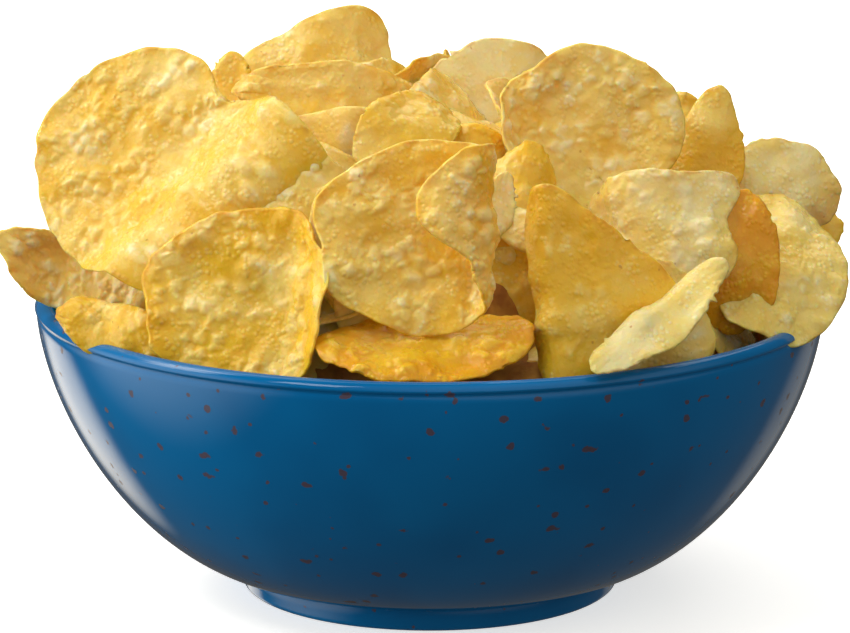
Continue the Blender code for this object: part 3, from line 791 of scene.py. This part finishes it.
@dataclass
class CrispHeap:
    """The heap: shown crisps, loose crisps round the back, more beneath them, and a core."""

    reach: float = 104.0
    dome_height: float = 56.0
    dome_power: float = 2.3
    loose_count: int = 62
    loose_seed: int = 11
    loose_sink: float = 6.0
    loose_length: tuple = (44.0, 58.0)
    loose_width: tuple = (36.0, 46.0)
    loose_swing: float = 25.0
    loose_tilt: float = 18.0
    loose_bend: float = 70.0
    slope_middle: float = 20.0
    slope_gain: float = 50.0
    loose_step: float = 0.6
    loose_front: float = -12.0
    loose_slant: float = 0.25
    under_count: int = 90
    under_seed: int = 23
    under_sink: float = 10.0
    under_step: float = 1.5
    grid_pitch: float = 0.62
    loose_grid: int = 35
    under_grid: int = 19
    test_grid: int = 13
    tries: int = 22
    try_swing: float = 3.0
    try_tilt: float = 2.5
    try_spin: float = 8.0
    near_share: float = 0.6
    wall_gap: float = 1.0
    wall_weight: int = 6
    over_rim: float = 2.0
    loose_top: float = 63.0
    core_rows: int = 70
    core_turns: int = 220
    core_seed: int = 5
    core_depth: float = 19.0
    core_droop: float = 0.5
    core_inset: float = 3.0
    core_broad: float = 3.0
    core_broad_size: float = 22.0
    core_small: float = 1.2
    core_small_size: float = 7.0
    core_foot: tuple = ((92.0, 40.0), (76.0, 22.0), (50.0, 10.0))

    def dome_rise(self, radius: float) -> float:
        """Height above the rim of the rounded mound: full height less a power of the radius."""
        return self.dome_height * (1.0 - min(radius / self.reach, 1.0) ** self.dome_power)

    def loose_crisp(self, index: int, count: int, dice: random.Random, sink: float) -> Crisp:
        """One crisp of a spiral of evenly spread crisps, each tilted its own way.

        Args:
            index: Its number in the spiral.
            count: How many the spiral has.
            dice: Where its chances come from.
            sink: How far below the mound it lies, in millimetres.
        """
        radius = (self.reach - sink) * math.sqrt((index + 0.5) / count)
        around = index * GOLDEN_ANGLE
        x = radius * math.cos(around)
        y = radius * math.sin(around)
        slope = self.slope_middle + self.slope_gain * radius / self.reach
        bearing = math.degrees(math.atan2(x, -y)) + dice.uniform(-self.loose_swing, self.loose_swing)
        elevation = 90.0 - slope + dice.uniform(-self.loose_tilt, self.loose_tilt)
        size = (dice.uniform(*self.loose_length), dice.uniform(*self.loose_width))
        bend = Bend(dice.uniform(0.0, 360.0), dice.uniform(-0.2, 0.3),
                    dice.uniform(-self.loose_bend, self.loose_bend), 1.0)
        corner = Corner(dice.uniform(0.0, 360.0), dice.uniform(-0.05, 0.2), 6.0)
        return Crisp(f"loose_{index}", (x, y, self.dome_rise(radius) - sink), bearing, elevation,
                     dice.uniform(0.0, 360.0), size, (bend,), (corner,), dice.uniform(-3.0, 3.0), 100 + index,
                     tone=0.36 + 0.1 * math.sin(index * 2.4))

    def tree(self, crisp: Crisp) -> BVHTree:
        """A coarse copy of a crisp's middle surface for overlap tests."""
        points = crisp.sheet(self.test_grid)[0] @ crisp.axes() + np.array(crisp.middle)
        faces = grid_quads(self.test_grid, self.test_grid)
        return BVHTree.FromPolygons(points.reshape(-1, 3).tolist(), faces.tolist())

    def strays(self, crisp: Crisp) -> int:
        """How many of a crisp's test points lie past the bowl's inner wall, or too high."""
        points = (crisp.sheet(self.test_grid)[0] @ crisp.axes() + np.array(crisp.middle)).reshape(-1, 3)
        bowl = Bowl()
        wall = bowl.wall_points()
        room = np.interp(points[:, 2] + RIM_HEIGHT, wall[:, 1], wall[:, 0]) - bowl.wall - self.wall_gap
        past = np.hypot(points[:, 0], points[:, 1]) > room
        return int(np.sum(past & (points[:, 2] < self.over_rim)) + np.sum(points[:, 2] > self.loose_top))

    def settle(self, crisp: Crisp, placed: list[tuple[Crisp, BVHTree]], dice: random.Random,
               step: float) -> Crisp:
        """Try a crisp in slightly different places until it cuts through no other and doesn't stray.

        Args:
            crisp: The crisp as first placed.
            placed: Crisps that already lie there, with their test surfaces.
            dice: Where its chances come from.
            step: How much further inwards each try lies, in millimetres.

        Returns:
            The first try that is clear, or the one that cuts least.
        """
        best, least = crisp, math.inf
        for attempt in range(self.tries):
            shrink = 1.0 - attempt * step / 100.0
            middle = tuple(part * shrink for part in crisp.middle)
            swing, tilt, spin = (dice.uniform(-most, most) * attempt
                                 for most in (self.try_swing, self.try_tilt, self.try_spin))
            turned = replace(crisp, middle=middle, bearing=crisp.bearing + swing,
                             elevation=crisp.elevation + tilt, spin=crisp.spin + spin)
            surface = self.tree(turned)
            reach = max(crisp.size)
            cuts = sum(len(surface.overlap(other)) for lying, other in placed
                       if math.dist(lying.middle, middle) < (reach + max(lying.size)) * self.near_share)
            cuts += self.wall_weight * self.strays(turned)
            if cuts < least:
                best, least = turned, cuts
            if cuts == 0:
                break
        return best

    def arrange(self) -> tuple[list[Crisp], list[Crisp]]:
        """Place the crisps that no one chose one by one, round the shown ones.

        Returns:
            The loose crisps round the back and the sides, and the crisps beneath.
        """
        placed = [(crisp, self.tree(crisp)) for crisp in SHOWN_CRISPS]
        loose = []
        dice = random.Random(self.loose_seed)
        for index in range(self.loose_count):
            crisp = self.loose_crisp(index, self.loose_count, dice, self.loose_sink)
            if crisp.middle[1] > self.loose_front + self.loose_slant * abs(crisp.middle[0]):
                crisp = self.settle(crisp, placed, dice, self.loose_step)
                if self.strays(crisp) == 0:
                    placed.append((crisp, self.tree(crisp)))
                    loose.append(crisp)
        dice = random.Random(self.under_seed)
        beneath = []
        for index in range(self.under_count):
            crisp = self.loose_crisp(index, self.under_count, dice, self.under_sink)
            crisp = self.settle(crisp, placed, dice, self.under_step)
            if self.strays(crisp) == 0:
                beneath.append(crisp)
        return loose, beneath

    def build_core(self, material: bpy.types.Material) -> bpy.types.Object:
        """The mound under the crisps, sunk below them, with relief, down to the bowl's floor.

        Rows run from the top of the mound out to the wall and then down inside the bowl. Above, the
        height is the mound's less the core's depth and soft noise.
        """
        dice = np.random.default_rng(self.core_seed)
        share = np.linspace(0.0, 1.0, self.core_rows)
        angle = np.linspace(0.0, 2.0 * math.pi, self.core_turns + 1)[:-1]
        wide = self.reach - self.core_inset
        radius = share[1:, None] * wide * np.ones_like(angle)
        x = radius * np.cos(angle)
        y = radius * np.sin(angle)
        rise = self.dome_height * (1.0 - np.minimum(radius / self.reach, 1.0) ** self.dome_power)
        sunk = self.core_depth * (1.0 + self.core_droop * (radius / wide) ** 4)
        z = RIM_HEIGHT + rise - sunk + self.core_broad * soft_noise(x, y, self.core_broad_size, dice, 20)
        z += self.core_small * soft_noise(x, y, self.core_small_size, dice, 20)
        down = np.array(self.core_foot)
        down_radius = down[:, :1] * np.ones_like(angle)
        down_z = down[:, 1:] * np.ones_like(angle)
        x = np.concatenate([x, down_radius * np.cos(angle)])
        y = np.concatenate([y, down_radius * np.sin(angle)])
        z = np.concatenate([z, down_z])
        ends = np.array([[0.0, 0.0, z[0].mean()], [0.0, 0.0, down[-1, 1]]])
        points = np.concatenate([np.stack([x, y, z], axis=-1).reshape(-1, 3), ends]) * MM
        return new_piece("heap_core", points, turned_faces(len(x), self.core_turns), material)

    def build(self, potato: bpy.types.Material, shade: bpy.types.Material) -> list[bpy.types.Object]:
        """Make every piece of the heap.

        Args:
            potato: The crisps' finish.
            shade: The core's finish.

        Returns:
            The pieces.
        """
        loose, beneath = self.arrange()
        pieces = [self.build_core(shade)]
        pieces.append(join_crisps("crisps_beneath", beneath, self.under_grid, potato))
        half = len(loose) // 2
        pieces.append(join_crisps("crisps_behind_inner", loose[:half], self.loose_grid, potato))
        pieces.append(join_crisps("crisps_behind_outer", loose[half:], self.loose_grid, potato))
        for crisp in SHOWN_CRISPS:
            count = int(max(crisp.size) / self.grid_pitch)
            pieces.append(join_crisps("crisp_" + crisp.name, [crisp], count, potato))
        return pieces


# ------------------------------------------------------------------ the studio


@dataclass(frozen=True)
class Glow:
    """A soft bright patch of the surroundings: where it lies, how far it spreads and its strength."""

    way: tuple
    inner: float
    outer: float
    strength: float


@dataclass
class Studio:
    """Camera, lights, surroundings and floor. Sizes in metres."""

    camera_place: tuple = (-0.0014, -1.30, 0.370)
    camera_pitch: float = 12.74
    lens: float = 202.2
    floor_reach: float = 8.0
    floor_height: float = -0.0002
    surround: float = 0.12
    surround_colour: tuple = (1.0, 0.93, 0.80, 1.0)
    seen: float = 0.97
    key_power: float = 4.6
    key_place: tuple = (-0.60, -0.66, 1.20)
    key_aim: tuple = (0.0, 0.0, 0.09)
    key_size: tuple = (0.42, 0.42)
    key_colour: tuple = (1.0, 0.975, 0.93)
    back_power: float = 40.0
    back_place: tuple = (0.0, 2.0, 2.2)
    back_aim: tuple = (0.0, 2.0, 0.0)
    back_size: tuple = (3.2, 2.6)
    glows: tuple = (Glow((-0.52, 0.76, -0.38), 4.0, 16.0, 2.3), Glow((0.46, 0.80, -0.38), 3.0, 13.0, 0.3),
                    Glow((-0.97, -0.12, 0.05), 12.0, 48.0, 2.6), Glow((-0.45, 0.45, 0.77), 5.0, 24.0, 0.6),
                    Glow((-0.56, 0.26, 0.78), 4.0, 12.0, 8.0), Glow((-0.72, 0.08, 0.68), 4.0, 12.0, 8.0),
                    Glow((0.50, -0.60, 0.62), 20.0, 60.0, 0.78))

    def add_camera(self) -> None:
        """A long lens that looks a little down on the bowl from the front."""
        data = bpy.data.cameras.new("camera")
        data.lens = self.lens
        data.sensor_width = 36.0
        data.clip_end = 50.0
        camera = bpy.data.objects.new("camera", data)
        camera.location = self.camera_place
        camera.rotation_euler = (math.radians(90.0 - self.camera_pitch), 0.0, 0.0)
        bpy.context.collection.objects.link(camera)
        bpy.context.scene.camera = camera

    def add_area(self, name: str, place: tuple, aim: tuple, size: tuple, power: float, colour: tuple) -> None:
        """Add a rectangular soft light at a place, turned to what it lights."""
        data = bpy.data.lights.new(name, "AREA")
        data.shape = "RECTANGLE"
        data.size = size[0]
        data.size_y = size[1]
        data.energy = power
        data.color = colour
        light = bpy.data.objects.new(name, data)
        light.location = place
        light.rotation_euler = (Vector(place) - Vector(aim)).to_track_quat("Z", "Y").to_euler()
        light.visible_camera = False
        bpy.context.collection.objects.link(light)

    def add_lights(self) -> None:
        """A key light high on the left in front, and a wide soft light over the floor behind."""
        self.add_area("key", self.key_place, self.key_aim, self.key_size, self.key_power, self.key_colour)
        white = (1.0, 1.0, 1.0)
        self.add_area("back", self.back_place, self.back_aim, self.back_size, self.back_power, white)

    def add_surroundings(self) -> None:
        """Dim surroundings with soft bright patches, seen by the camera itself as plain white.

        A patch's strength falls smoothly from its inner to its outer angle away from its middle.
        """
        book = NodeBook(bpy.data.worlds.new("surroundings"), "Background")
        way = book.add("TexCoord").outputs["Generated"]
        total = self.surround
        for glow in self.glows:
            ends = {0: way, 1: Vector(glow.way).normalized()}
            toward = book.add("VectorMath", ends, operation="DOT_PRODUCT").outputs["Value"]
            outer, inner = math.cos(math.radians(glow.outer)), math.cos(math.radians(glow.inner))
            total = book.sum("ADD", book.span(toward, outer, inner, 0.0, glow.strength), total)
        direct = book.add("LightPath").outputs["Is Camera Ray"]
        book.feed(book.shader, "Strength", book.add("Mix", {0: direct, 2: total, 3: self.seen}).outputs[0])
        book.feed(book.shader, "Color", book.blend(direct, self.surround_colour, (1.0, 1.0, 1.0, 1.0)))
        bpy.context.scene.world = book.owner
        bpy.context.scene.view_settings.view_transform = "Standard"

    def add_floor(self, material: bpy.types.Material) -> None:
        """A wide flat floor under the foot."""
        corners = np.array([[-1.0, -1.0], [1.0, -1.0], [1.0, 1.0], [-1.0, 1.0]]) * self.floor_reach
        points = np.concatenate([corners, np.full((4, 1), self.floor_height)], axis=1)
        floor = new_piece("floor", points, [np.array([[0, 1, 2, 3]])], material, smooth=False)
        floor.visible_diffuse = False
        floor.visible_glossy = False


def main() -> None:
    """Build the bowl, the heap and the studio in order, and log the faces of the bowl and of each crisp
    piece.
    """
    bowl = Bowl().build(GlazeFinish().build())
    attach(bowl, "root")
    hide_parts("bowl")
    log.info("bowl: %d faces", len(bowl.data.polygons))
    for piece in CrispHeap().build(PotatoFinish().build(), CoreFinish().build()):
        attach(piece, "root")
        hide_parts("crisps")
    studio = Studio()
    studio.add_camera()
    studio.add_lights()
    studio.add_surroundings()
    studio.add_floor(FloorFinish().build())


if __name__ == "__main__":
    main()
